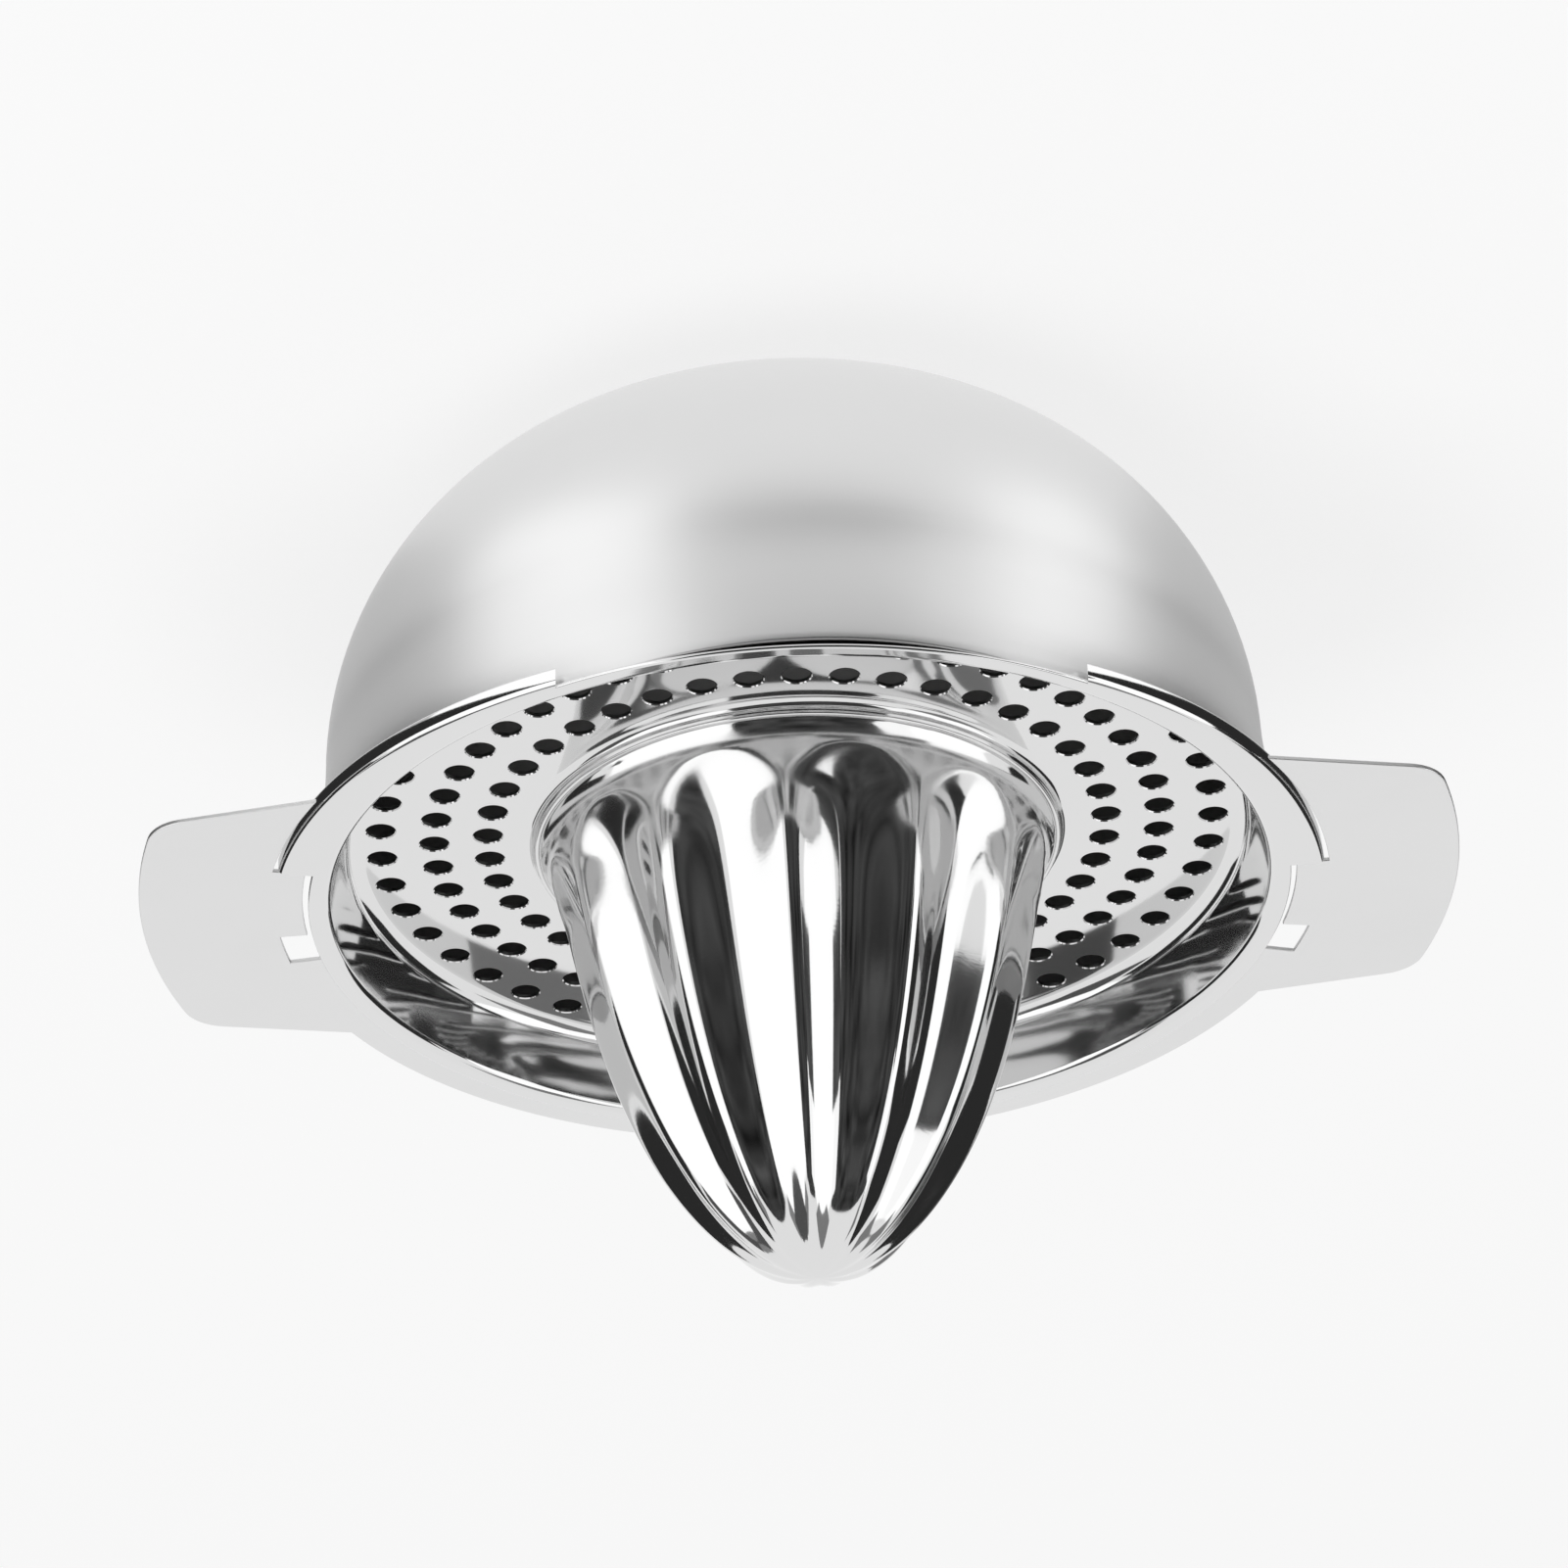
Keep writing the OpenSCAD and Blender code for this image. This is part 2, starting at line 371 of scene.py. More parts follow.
@dataclass(frozen=True)
class Steel:
    """A finish of stainless sheet, with its polishing marks, smears and slight waves."""

    cloud_scale: ClassVar[float] = 38.0
    line_scale: ClassVar[float] = 2600.0
    line_scale_along: ClassVar[float] = 40.0
    line_scale_round: ClassVar[float] = 2.2
    line_share: ClassVar[float] = 0.35

    name: str
    grey: float
    roughness: float
    smear: float
    brushing: Brushing
    brush_depth: float
    wave_depth: float
    wave_size: float = 9.0 * MM
    tint: float = 0.03
    dull_patch: str = ""
    dull_roughness: float = 0.16

    def material(self) -> bpy.types.Material:
        """Builds the node material.

        Returns:
            The material.
        """
        made = bpy.data.materials.new(self.name)
        bench = ShaderBench(made)
        place = bench.node("ShaderNodeTexCoord", {}, {}, "Object")
        parts = [bench.node("ShaderNodeSeparateXYZ", {}, {0: place}, i) for i in range(3)]
        marks = self.marks(bench, parts)
        clouds = bench.node(
            "ShaderNodeTexNoise", {}, {"Vector": place, "Scale": self.cloud_scale, "Detail": 3.0}
        )
        waves = bench.node(
            "ShaderNodeTexNoise", {}, {"Vector": place, "Scale": 1 / self.wave_size, "Detail": 1.0}
        )
        streaks = self.line_share * self.smear
        rough = self.roughness + self.smear * (clouds - 0.5) + streaks * (marks - 0.5)
        if self.dull_patch:
            dull = bench.node("ShaderNodeAttribute", {"attribute_name": self.dull_patch}, {}, "Fac")
            rough = rough + (self.dull_roughness - self.roughness) * dull
        dark, pale = self.grey - self.tint, self.grey + self.tint
        shade = bench.node(
            "ShaderNodeMix",
            {"data_type": "RGBA"},
            {0: clouds, 6: (dark, dark, dark, 1), 7: (pale, pale, pale, 1)},
            2,
        )
        wavy = bench.node(
            "ShaderNodeBump", {}, {"Strength": 1.0, "Distance": self.wave_depth, "Height": waves}
        )
        brushed = bench.node(
            "ShaderNodeBump",
            {},
            {"Strength": 1.0, "Distance": self.brush_depth, "Height": marks, "Normal": wavy},
        )
        shader = bench.node(
            "ShaderNodeBsdfPrincipled",
            {},
            {"Base Color": shade, "Metallic": 1.0, "Roughness": rough, "Normal": brushed},
        )
        bench.node("ShaderNodeOutputMaterial", {}, {"Surface": shader})
        return made

    def marks(self, bench: ShaderBench, parts: Sequence[Wire]) -> Wire:
        """Fine lines left by polishing.

        Args:
            bench: The material's node bench.
            parts: The X, Y and Z of a point on the piece.

        Returns:
            A value around one half that varies quickly across the lines.
        """
        x, y, z = parts
        if self.brushing is Brushing.ROUND:
            angle = y.math("ARCTAN2", x)
            radius = (x * x + y * y).math("SQRT")
            stretched = {0: angle * self.line_scale_round, 1: radius * self.line_scale}
        else:
            stretched = {0: x * self.line_scale_along, 1: y * self.line_scale}
        stretched[2] = z * self.line_scale
        lines = bench.node("ShaderNodeCombineXYZ", {}, stretched)
        return bench.node("ShaderNodeTexNoise", {}, {"Vector": lines, "Scale": 1.0, "Detail": 2.0})


@dataclass
class Piece:
    """A visible piece that takes over from one CAD node."""

    name: ClassVar[str]
    node: ClassVar[str]
    body: ClassVar[str]
    slot: ClassVar[str]

    def build(self) -> bpy.types.Object:
        """Models the piece and returns its object."""
        raise NotImplementedError

    def finish(self) -> Steel:
        """The finish of the piece."""
        raise NotImplementedError

    def dress(self, obj: bpy.types.Object) -> None:
        """Gives the whole piece its finish."""
        obj.data.materials.clear()
        obj.data.materials.append(self.finish().material())

    def make(self) -> bpy.types.Object:
        """Models the piece, dresses it and sets it on its body.

        Returns:
            The finished object.
        """
        obj = self.build()
        self.dress(obj)
        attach(obj, self.body)
        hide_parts(self.node)
        log.info("%s: %d faces on %s", obj.name, len(obj.data.polygons), self.body)
        return obj


@dataclass
class Bowl(Piece):
    """The bowl: one drawn sheet with a straight band at the rim and a dip for pouring."""

    name: ClassVar[str] = "bowl_shell"
    node: ClassVar[str] = "bowl"
    body: ClassVar[str] = "bowl_body"
    slot: ClassVar[str] = "satin_steel"

    rim_r: float = 61.5 * MM
    height: float = 59.4 * MM
    rim_band: float = 3.0 * MM
    wall_lean: float = 1.3 * MM
    belly_curve: float = 44.8 * MM
    base_r: float = 34.2 * MM
    base_bend: float = 2.5 * MM
    sheet: float = 0.6 * MM
    pour_w: float = 52.0 * MM
    pour_d: float = 1.2 * MM
    seat_turn: float = math.radians(-4)
    steps: int = 240
    belly_steps: int = 28
    rise_steps: int = 8

    @property
    def inner_r(self) -> float:
        """Radius inside the rim."""
        return self.rim_r - self.sheet

    def finish(self) -> Steel:
        """Satin steel, brushed round the axis."""
        return Steel(
            "satin_steel_round",
            grey=0.74,
            roughness=0.36,
            smear=0.10,
            brushing=Brushing.ROUND,
            brush_depth=0.004 * MM,
            wave_depth=0.02 * MM,
        )

    def dress(self, obj: bpy.types.Object) -> None:
        """Gives the bowl its finish, and its inside a rougher one in a darker grey, which is painted shade
        for the hollow under the tray.

        Args:
            obj: The bowl's object.
        """
        super().dress(obj)
        # Painted shade: the faces inside the bowl get a much darker grey than the outside, besides a
        # rougher finish.
        inside = replace(self.finish(), name="steel_inside_painted_shade", grey=0.40, roughness=0.45)
        obj.data.materials.append(inside.material())
        mouth = Vector((0, 0, self.height))
        for face in obj.data.polygons:
            face.material_index = int(face.normal.dot(face.center - mouth) < 0)

    def wall(self, inset: float) -> list[Spot]:
        """One face of the sheet from the middle of the base up to the rim.

        Args:
            inset: Distance of the face from the outside.

        Returns:
            Points of the section as radius and height.
        """
        belly_x = self.rim_r - self.wall_lean - self.belly_curve
        belly_z = math.sqrt(self.belly_curve**2 - (self.base_r - belly_x) ** 2)
        curve = self.belly_curve - inset
        foot = -math.degrees(math.asin((belly_z - inset) / curve))
        belly = arc(belly_x, belly_z, curve, foot, 0, self.belly_steps)
        flat = (belly[0][0] - self.base_bend, inset)
        band_z = self.height - self.rim_band
        shares = [i / self.rise_steps for i in range(1, self.rise_steps + 1)]
        rise = [(belly[-1][0] + self.wall_lean * ease(t), belly_z + (band_z - belly_z) * t) for t in shares]
        edge = self.height - self.sheet / 2
        return [
            (0, inset),
            (flat[0] - MM, inset),
            *corner(flat, belly[0], belly[2], 6),
            *belly[3:],
            *rise,
            (self.rim_r - inset, (band_z + edge) / 2),
            (self.rim_r - inset, edge),
        ]

    def build(self) -> bpy.types.Object:
        """Spins the section and presses the dip into the rim.

        Returns:
            The bowl's object.
        """
        half = self.sheet / 2
        lip = arc(self.rim_r - half, self.height - half, half, 0, 180, 8)[1:-1]
        obj = Bench.lathe(self.name, [*self.wall(0), *lip, *reversed(self.wall(self.sheet))], self.steps)
        self.press_dip(obj)
        Bench.smooth(obj, 40)
        return obj

    def press_dip(self, obj: bpy.types.Object) -> None:
        """Lowers the rim in a shallow curve on the pouring side.

        Args:
            obj: The turned bowl.
        """
        radius = (self.pour_w**2 / 4 + self.pour_d**2) / (2 * self.pour_d)
        low = self.height - self.rim_band
        for vertex in obj.data.vertices:
            x, y = turned(vertex.co.xy[:], -self.seat_turn)
            if y < 0 and abs(x) < self.pour_w / 2 and vertex.co.z > low:
                depth = self.pour_d - radius + math.sqrt(radius**2 - x * x)
                vertex.co.z -= depth * ease((vertex.co.z - low) / (self.rim_band - self.sheet))


@dataclass
class RimPlate(Piece):
    """The flat plate round the far side of the rim, with a handle at each end."""

    name: ClassVar[str] = "rim_plate"
    node: ClassVar[str] = "handle_rim"
    body: ClassVar[str] = "bowl_body"
    slot: ClassVar[str] = "satin_steel"

    strainer: "Strainer"
    sheet: float = 0.6 * MM
    band_w: float = 5.3 * MM
    span: float = 167.6 * MM
    root_w: float = 59.4 * MM
    taper: float = 11.3
    tip_round: float = 6.0 * MM
    slot_w: float = 1.7 * MM
    window_w: float = 5.2 * MM
    window_start: float = 7.0
    window_end: float = 13.0
    skirt_gap: float = 0.6 * MM
    edge_round: float = 0.12 * MM

    @property
    def bowl(self) -> Bowl:
        """The bowl whose rim the plate surrounds."""
        return self.strainer.bowl

    def finish(self) -> Steel:
        """Satin steel, brushed along the handles."""
        return Steel(
            "satin_steel_plate",
            grey=0.74,
            roughness=0.38,
            smear=0.08,
            brushing=Brushing.STRAIGHT,
            brush_depth=0.003 * MM,
            wave_depth=0.02 * MM,
        )

    def handle(self) -> list[Spot]:
        """Outer outline of the right handle, from its near root round to the far band.

        Returns:
            Points of the outline in plan.
        """
        lean = math.radians(self.taper)
        ahead, out = (math.cos(lean), -math.sin(lean)), (math.sin(lean), math.cos(lean))
        tip_r, band_r = self.span / 2, self.bowl.rim_r + self.band_w
        edge = out[0] * self.bowl.rim_r + out[1] * self.root_w / 2
        inner = edge - self.tip_round
        run = math.sqrt((tip_r - self.tip_round) ** 2 - inner**2)
        at = (ahead[0] * run + out[0] * inner, ahead[1] * run + out[1] * inner)
        turn = bearing(at)
        root = (out[0] * edge, out[1] * edge)
        band = along(root, ahead, (0, 0), band_r)
        return [
            (root[0], -root[1]),
            *arc(at[0], -at[1], self.tip_round, self.taper - 90, -turn, 12),
            *arc(0, 0, tip_r, -turn, turn, 40)[1:-1],
            *arc(*at, self.tip_round, turn, 90 - self.taper, 12),
            band,
        ]

    def root(self, side: int) -> list[Spot]:
        """Inner outline at one handle: round the skirt, along the slot and round the window.

        Args:
            side: 1 for the right handle and -1 for the left one.

        Returns:
            Points in plan, from the handle's near edge to the rim.
        """
        rim_r, turn = self.bowl.rim_r, self.bowl.seat_turn
        reach = rim_r + self.strainer.skirt_reach + self.skirt_gap
        slope = math.radians(self.strainer.skirt_end)
        line = (math.cos(slope), -math.sin(slope))
        centre = self.strainer.skirt_at
        skirt_corner = along((0, self.skirt_gap), line, centre, reach)
        slot_corner = along((0, self.skirt_gap), line, (0, 0), rim_r + self.slot_w)
        edge = self.handle()
        seat = [turned((side * x, y), -turn) for x, y in edge[:2]]
        seat = [(side * x, y) for x, y in seat]
        way = Vector(seat[1]) - Vector(seat[0])
        near = along(seat[0], tuple(way.normalized()), centre, reach)
        spread = [bearing((x - centre[0], y - centre[1])) for x, y in (near, skirt_corner)]
        found = [
            *arc(*centre, reach, *spread, 24),
            *arc(0, 0, rim_r + self.slot_w, bearing(slot_corner), self.window_start, 16),
            *arc(0, 0, rim_r + self.window_w, self.window_start, self.window_end, 6),
            turned((rim_r, 0), math.radians(self.window_end)),
        ]
        return [turned((side * x, y), turn) for x, y in found]

    def outline(self) -> list[Spot]:
        """The whole outline of the plate as one loop.

        Returns:
            Points in plan.
        """
        right, left = self.root(1), self.root(-1)
        rim = arc(0, 0, self.bowl.rim_r, bearing(right[-1]), bearing(left[-1]), 120)[1:-1]
        handle = self.handle()
        mirrored = [(-x, y) for x, y in reversed(handle)]
        band_r = self.bowl.rim_r + self.band_w
        band = arc(0, 0, band_r, bearing(handle[-1]), bearing(mirrored[0]), 100)[1:-1]
        outer = [*handle[1:], *band, *mirrored[:-1]]
        return [*outer, *left, *reversed(rim), *reversed(right)]

    def build(self) -> bpy.types.Object:
        """Fills the outline, gives it its thickness and rounds its edges.

        Returns:
            The plate's object.
        """
        top = self.bowl.height
        obj = Bench.draw(self.name, [Vector((x, y, top)) for x, y in self.outline()])
        bpy.ops.mesh.select_all(action="SELECT")
        bpy.ops.mesh.edge_face_add()
        Bench.extrude((0, 0, -self.sheet))
        bpy.ops.mesh.select_mode(type="EDGE")
        Bench.pick_edges(obj, lambda e: abs(e.verts[0].co.z - e.verts[1].co.z) < WELD)
        bpy.ops.mesh.bevel(offset=self.edge_round, segments=2, affect="EDGES")
        Bench.weld()
        Bench.smooth(obj, 20)
        return obj


@dataclass
class Strainer(Piece):
    """The lift-out tray: a perforated floor, a collar, a rim ring and two skirts."""

    name: ClassVar[str] = "strainer_tray"
    node: ClassVar[str] = "strainer"
    body: ClassVar[str] = "strainer_body"
    slot: ClassVar[str] = "mirror_steel"

    bowl: Bowl
    sheet: float = 0.6 * MM
    depth: float = 10.0 * MM
    seat_gap: float = 0.1 * MM
    ring_reach: float = 1.0 * MM
    bend_r: float = 1.2 * MM
    lean: float = 12.0
    fillet: float = 2.5 * MM
    collar_r: float = 33.05 * MM
    collar_h: float = 1.8 * MM
    collar_fillet: float = 1.2 * MM
    hole_r: float = 1.85 * MM
    hole_round: float = 0.14 * MM
    rows: tuple[tuple[int, float, float], ...] = (
        (42, 39.6 * MM, 0.84),
        (48, 46.44 * MM, 0.16),
        (48, 53.28 * MM, 0.66),
    )
    skirt_reach: float = 2.5 * MM
    skirt_at: Spot = (3.2 * MM, 2.8 * MM)
    skirt_drop: float = 2.5 * MM
    skirt_bend: float = 0.8 * MM
    skirt_strip: float = 7.0 * MM
    skirt_from: float = 4.0
    skirt_sweep: float = 84.0
    skirt_end: float = 8.0
    skirt_overlap: float = 0.35 * MM
    notch_w: float = 64.0 * MM
    steps: int = 240
    skirt_steps: int = 112
    hole_steps: int = 24

    def finish(self) -> Steel:
        """Mirror steel, polished round the axis."""
        return Steel(
            "mirror_steel_tray",
            grey=0.72,
            roughness=0.07,
            smear=0.04,
            brushing=Brushing.ROUND,
            brush_depth=0.0006 * MM,
            wave_depth=0.03 * MM,
            tint=0.01,
        )

    @property
    def floor_z(self) -> float:
        """Height of the tray's floor."""
        return self.bowl.height + self.sheet - self.depth

    @property
    def collar_x(self) -> float:
        """Radius where the collar's fillet meets the floor."""
        return self.collar_r + self.sheet + self.collar_fillet

    def rim_section(self) -> list[Spot]:
        """Section of the wall and the rim ring, from the floor out, over and back under it.

        Returns:
            Points as radius and height above the floor.
        """
        lean = math.radians(self.lean)
        bend_x, bend_s = self.bowl.inner_r - self.seat_gap, self.depth - self.bend_r
        top_x = bend_x - self.bend_r * math.cos(lean)
        top_s = bend_s + self.bend_r * math.sin(lean)
        foot_s = self.fillet * (1 - math.sin(lean))
        fillet_x = top_x - (top_s - foot_s) * math.tan(lean) - self.fillet * math.cos(lean)
        half = self.sheet / 2
        ring_x = self.bowl.rim_r + self.ring_reach - half
        turn = 180 - self.lean
        return [
            (fillet_x - 0.3 * MM, 0),
            *arc(fillet_x, self.fillet, self.fillet, -90, -self.lean, 14),
            *arc(bend_x, bend_s, self.bend_r, turn, 90, 12),
            (bend_x + 0.2 * MM, self.depth),
            (ring_x - 0.15 * MM, self.depth),
            *arc(ring_x, self.depth - half, half, 90, -90, 8),
            *arc(bend_x, bend_s, self.bend_r - self.sheet, 90, turn, 8),
            *arc(fillet_x, self.fillet, self.fillet + self.sheet, -self.lean, -90, 12),
            (fillet_x - 0.3 * MM, -self.sheet),
        ]

    def collar_section(self) -> list[Spot]:
        """Section of the turned-up collar, from under the floor round to the floor.

        Returns:
            Points as radius and height above the floor.
        """
        half, x, r = self.sheet / 2, self.collar_x, self.collar_fillet
        return [
            (x + 0.25 * MM, -self.sheet),
            *arc(x, r, r + self.sheet, 270, 180, 10),
            *arc(self.collar_r + half, self.collar_h - half, half, 180, 0, 8),
            *arc(x, r, r, 180, 270, 10),
            (x + 0.25 * MM, 0),
        ]

    def hole_row(self, count: int, radius: float, share: float) -> bpy.types.Object:
        """One row of punched holes: an eyelet with a rolled edge, copied round the axis.

        Args:
            count: Holes in the row.
            radius: Radius of the row.
            share: Turn of the row as a share of its step.

        Returns:
            The row's open eyelets.
        """
        Bench.clear()
        angle = math.tau * share / count
        spot = Vector((radius * math.cos(angle), radius * math.sin(angle), self.floor_z))
        edge_r = self.hole_r + self.hole_round
        bpy.ops.mesh.primitive_circle_add(
            vertices=self.hole_steps, radius=edge_r, fill_type="NOTHING", location=spot
        )
        row = Bench.named("eyelets")
        Bench.edit()
        shrink = self.hole_r / edge_r
        Bench.extrude((0, 0, -self.hole_round))
        bpy.ops.transform.resize(value=(shrink, shrink, 1), center_override=spot)
        Bench.extrude((0, 0, self.hole_round - self.sheet))
        Bench.copy_round(count)
        bpy.ops.object.mode_set(mode="OBJECT")
        return row

    def skirt(self) -> bpy.types.Object:
        """One skirt: a flat strip with a turned-down lip, spun about its own centre and trimmed.

        Returns:
            The skirt as a closed solid.
        """
        top, outer = self.bowl.height + self.sheet, self.bowl.rim_r + self.skirt_reach
        bend, half = self.skirt_bend, self.sheet / 2
        low, inside = top - self.skirt_drop, outer - self.skirt_strip
        section = [
            (inside, top),
            *arc(outer - bend, top - bend, bend, 90, 0, 8),
            *arc(outer - half, low + half, half, 0, -180, 8),
            *arc(outer - bend, top - bend, bend - self.sheet, 0, 90, 4),
            (inside, top - self.sheet),
        ]
        start, sweep = math.radians(self.skirt_from), math.radians(self.skirt_sweep)
        across = Vector((math.cos(start), math.sin(start), 0))
        centre = Vector((*self.skirt_at, 0))
        points = [centre + across * r + Vector((0, 0, z)) for r, z in section]
        obj = Bench.draw("skirt", [*points, points[0]])
        bpy.ops.mesh.select_all(action="SELECT")
        bpy.ops.mesh.remove_doubles(threshold=WELD)
        bpy.ops.mesh.select_all(action="SELECT")
        bpy.ops.mesh.spin(steps=self.skirt_steps, angle=sweep, center=centre, axis=(0, 0, 1))
        slope = math.radians(self.skirt_end)
        cuts = (
            (Vector((self.notch_w / 2, 0, 0)), Vector((-1, 0, 0))),
            (Vector((0, 0, 0)), Vector((math.sin(slope), math.cos(slope), 0))),
        )
        for place, normal in cuts:
            bpy.ops.mesh.select_all(action="SELECT")
            bpy.ops.mesh.bisect(plane_co=place, plane_no=normal, use_fill=True, clear_outer=True)
        Bench.weld()
        root = self.bowl.rim_r + self.ring_reach / 2 - self.skirt_overlap
        for vertex in obj.data.vertices:
            if vertex.co.xy.length < root or (vertex.co.xy - centre.xy).length < inside + MM:
                vertex.co.xy = vertex.co.xy.normalized() * root
        return obj

    def build(self) -> bpy.types.Object:
        """Spins the tray, punches its floor and adds the skirts.

        Returns:
            The tray's object.
        """
        sections = (self.rim_section(), self.collar_section())
        turnings = [
            Bench.lathe(self.name, [(r, s + self.floor_z) for r, s in section], self.steps)
            for section in sections
        ]
        rows = [self.hole_row(*row) for row in self.rows]
        obj = Bench.join(*turnings, *rows)
        Bench.edit()
        for level in (self.floor_z, self.floor_z - self.sheet):
            Bench.pick_edges(
                obj,
                lambda e: e.is_boundary and all(abs(v.co.z - level) < WELD for v in e.verts),
            )
            bpy.ops.mesh.fill(use_beauty=True)
        Bench.weld()
        for side in (1, -1):
            skirt = self.skirt()
            if side < 0:
                skirt.data.transform(Matrix.Scale(-1, 4, (1, 0, 0)))
                skirt.data.flip_normals()
            Bench.apply(obj, "BOOLEAN", operation="UNION", solver="EXACT", object=skirt)
            bpy.data.objects.remove(skirt)
        obj.data.transform(Matrix.Rotation(self.bowl.seat_turn, 4, "Z"))
        Bench.smooth(obj, 32)
        return obj


@dataclass
class Reamer(Piece):
    """The fluted cone that stands in the tray."""

    name: ClassVar[str] = "reamer_cone"
    node: ClassVar[str] = "reamer"
    body: ClassVar[str] = "strainer_body"
    slot: ClassVar[str] = "mirror_steel"
    dull_patch: ClassVar[str] = "dull_foot"

    strainer: Strainer
    sheet: float = 0.6 * MM
    foot_radius: float = 33.0 * MM
    height: float = 62.7 * MM
    ridge_inset: float = 0.5 * MM
    ridge_lean: float = 10.5
    ridge_round: float = 0.5 * MM
    tip_blunt: float = 3.5
    flutes: int = 11
    flute_turn: float = math.radians(31)
    flute_depth: float = 0.12
    flute_start: float = 4.6 * MM
    flute_end: float = 5.9 * MM
    flute_settle: float = 6.0 * MM
    flute_hollow: float = 1.4
    tip_round: float = 0.1
    dull_start: float = 2.4 * MM
    dull_edge: float = 1.0 * MM
    dull_fade: float = 6.0 * MM
    dull_reach: float = 1.3 * MM
    foot_lean: float = 1.1
    foot_fillet: float = 1.4 * MM
    flange_r: float = 36.25 * MM
    columns: int = 28
    rows: int = 110
    crowding: float = 0.11

    def finish(self) -> Steel:
        """Mirror steel, polished round the axis."""
        return Steel(
            "mirror_steel_cone",
            grey=0.72,
            roughness=0.07,
            smear=0.05,
            brushing=Brushing.ROUND,
            brush_depth=0.0012 * MM,
            wave_depth=0.02 * MM,
            tint=0.01,
            dull_patch=self.dull_patch,
        )

    def ridge(self, s: float) -> float:
        """Radius of the ridges at a height above the tray floor."""
        straight = self.foot_radius - self.ridge_inset - math.tan(math.radians(self.ridge_lean)) * s
        return straight * math.sqrt(max(0.0, 1 - (s / self.height) ** self.tip_blunt))

    def radius(self, s: float, angle: float) -> float:
        """Radius of the outside at a height and at an angle from the middle of a flute.

        Args:
            s: Height above the tray floor.
            angle: Angle from the flute's middle in radians.

        Returns:
            The radius.
        """
        foot = self.foot_radius - self.foot_lean * max(0.0, s - self.strainer.collar_h)
        return rounded_max(foot, self.ridge(s) - self.cut(s, angle), self.foot_fillet)

    def valley(self, s: float) -> float:
        """Depth of a flute at its middle, which settles to a share of the ridge's radius."""
        run = max(0.0, s - self.flute_start) / self.flute_settle
        return self.flute_depth * self.ridge(s) * (1 - math.exp(-run))

    def cut(self, s: float, angle: float) -> float:
        """Depth of a flute below the ridges.

        Args:
            s: Height above the tray floor.
            angle: Angle from the flute's middle in radians.

        Returns:
            The depth, with a rounded edge.
        """
        valley = self.valley(s)
        edge = min(self.ridge_round, self.tip_round * self.ridge(s), valley)
        if edge <= 0:
            return 0.0
        run = min(1.0, (s - self.flute_start) / self.flute_end)
        width = run * (2 - run)
        rise = 1 - abs(math.cos(self.flutes * angle / 2)) ** self.flute_hollow
        return rounded_max(0, valley * (1 - rise / width), edge)

    def dullness(self, s: float, angle: float) -> float:
        """How dull the surface is: the foot and the tongues between the flutes are not polished.

        Args:
            s: Height above the tray floor.
            angle: Angle from the flute's middle in radians.

        Returns:
            A share from 0, polished, to 1, dull.
        """
        full = self.flute_start + self.flute_end
        low = ease((s - self.dull_start) / self.dull_edge) * (1 - ease((s - full) / self.dull_fade))
        return low * (1 - ease(self.cut(s, angle) / self.dull_reach))

    def level(self, share: float) -> float:
        """Height of a ring of points, closer together at the foot and at the tip."""
        return self.height * (share - self.crowding * math.sin(math.tau * share))

    def build(self) -> bpy.types.Object:
        """Shapes one flute on a grid, copies it round, turns out the flange and thickens it.

        Returns:
            The reamer's object.
        """
        Bench.clear()
        bpy.ops.mesh.primitive_grid_add(x_subdivisions=self.columns, y_subdivisions=self.rows, size=1)
        obj = Bench.named(self.name)
        step = math.tau / self.flutes
        for vertex in obj.data.vertices:
            angle = step / 2 * math.sin(math.pi * vertex.co.x)
            s = self.level(min(1.0, vertex.co.y + 0.5))
            r = self.radius(s, angle)
            vertex.co = (r * math.cos(angle), r * math.sin(angle), s + self.strainer.floor_z)
        Bench.take(obj)
        Bench.edit()
        Bench.copy_round(self.flutes)
        bpy.ops.mesh.select_all(action="SELECT")
        bpy.ops.mesh.remove_doubles(threshold=WELD)
        Bench.pick_edges(obj, lambda e: e.is_boundary)
        Bench.extrude((0, 0, -self.strainer.sheet))
        Bench.extrude((0, 0, 0))
        spread = self.flange_r / self.foot_radius
        bpy.ops.transform.resize(value=(spread, spread, 1), center_override=(0, 0, 0))
        Bench.weld()
        Bench.apply(obj, "SOLIDIFY", thickness=self.sheet, offset=-1.0)
        patch = obj.data.attributes.new(self.dull_patch, "FLOAT", "POINT")
        for vertex in obj.data.vertices:
            s = max(0.0, vertex.co.z - self.strainer.floor_z)
            patch.data[vertex.index].value = self.dullness(s, math.atan2(vertex.co.y, vertex.co.x))
        turn = self.strainer.bowl.seat_turn + self.flute_turn
        obj.data.transform(Matrix.Rotation(turn, 4, "Z"))
        Bench.smooth(obj, 50)
        return obj


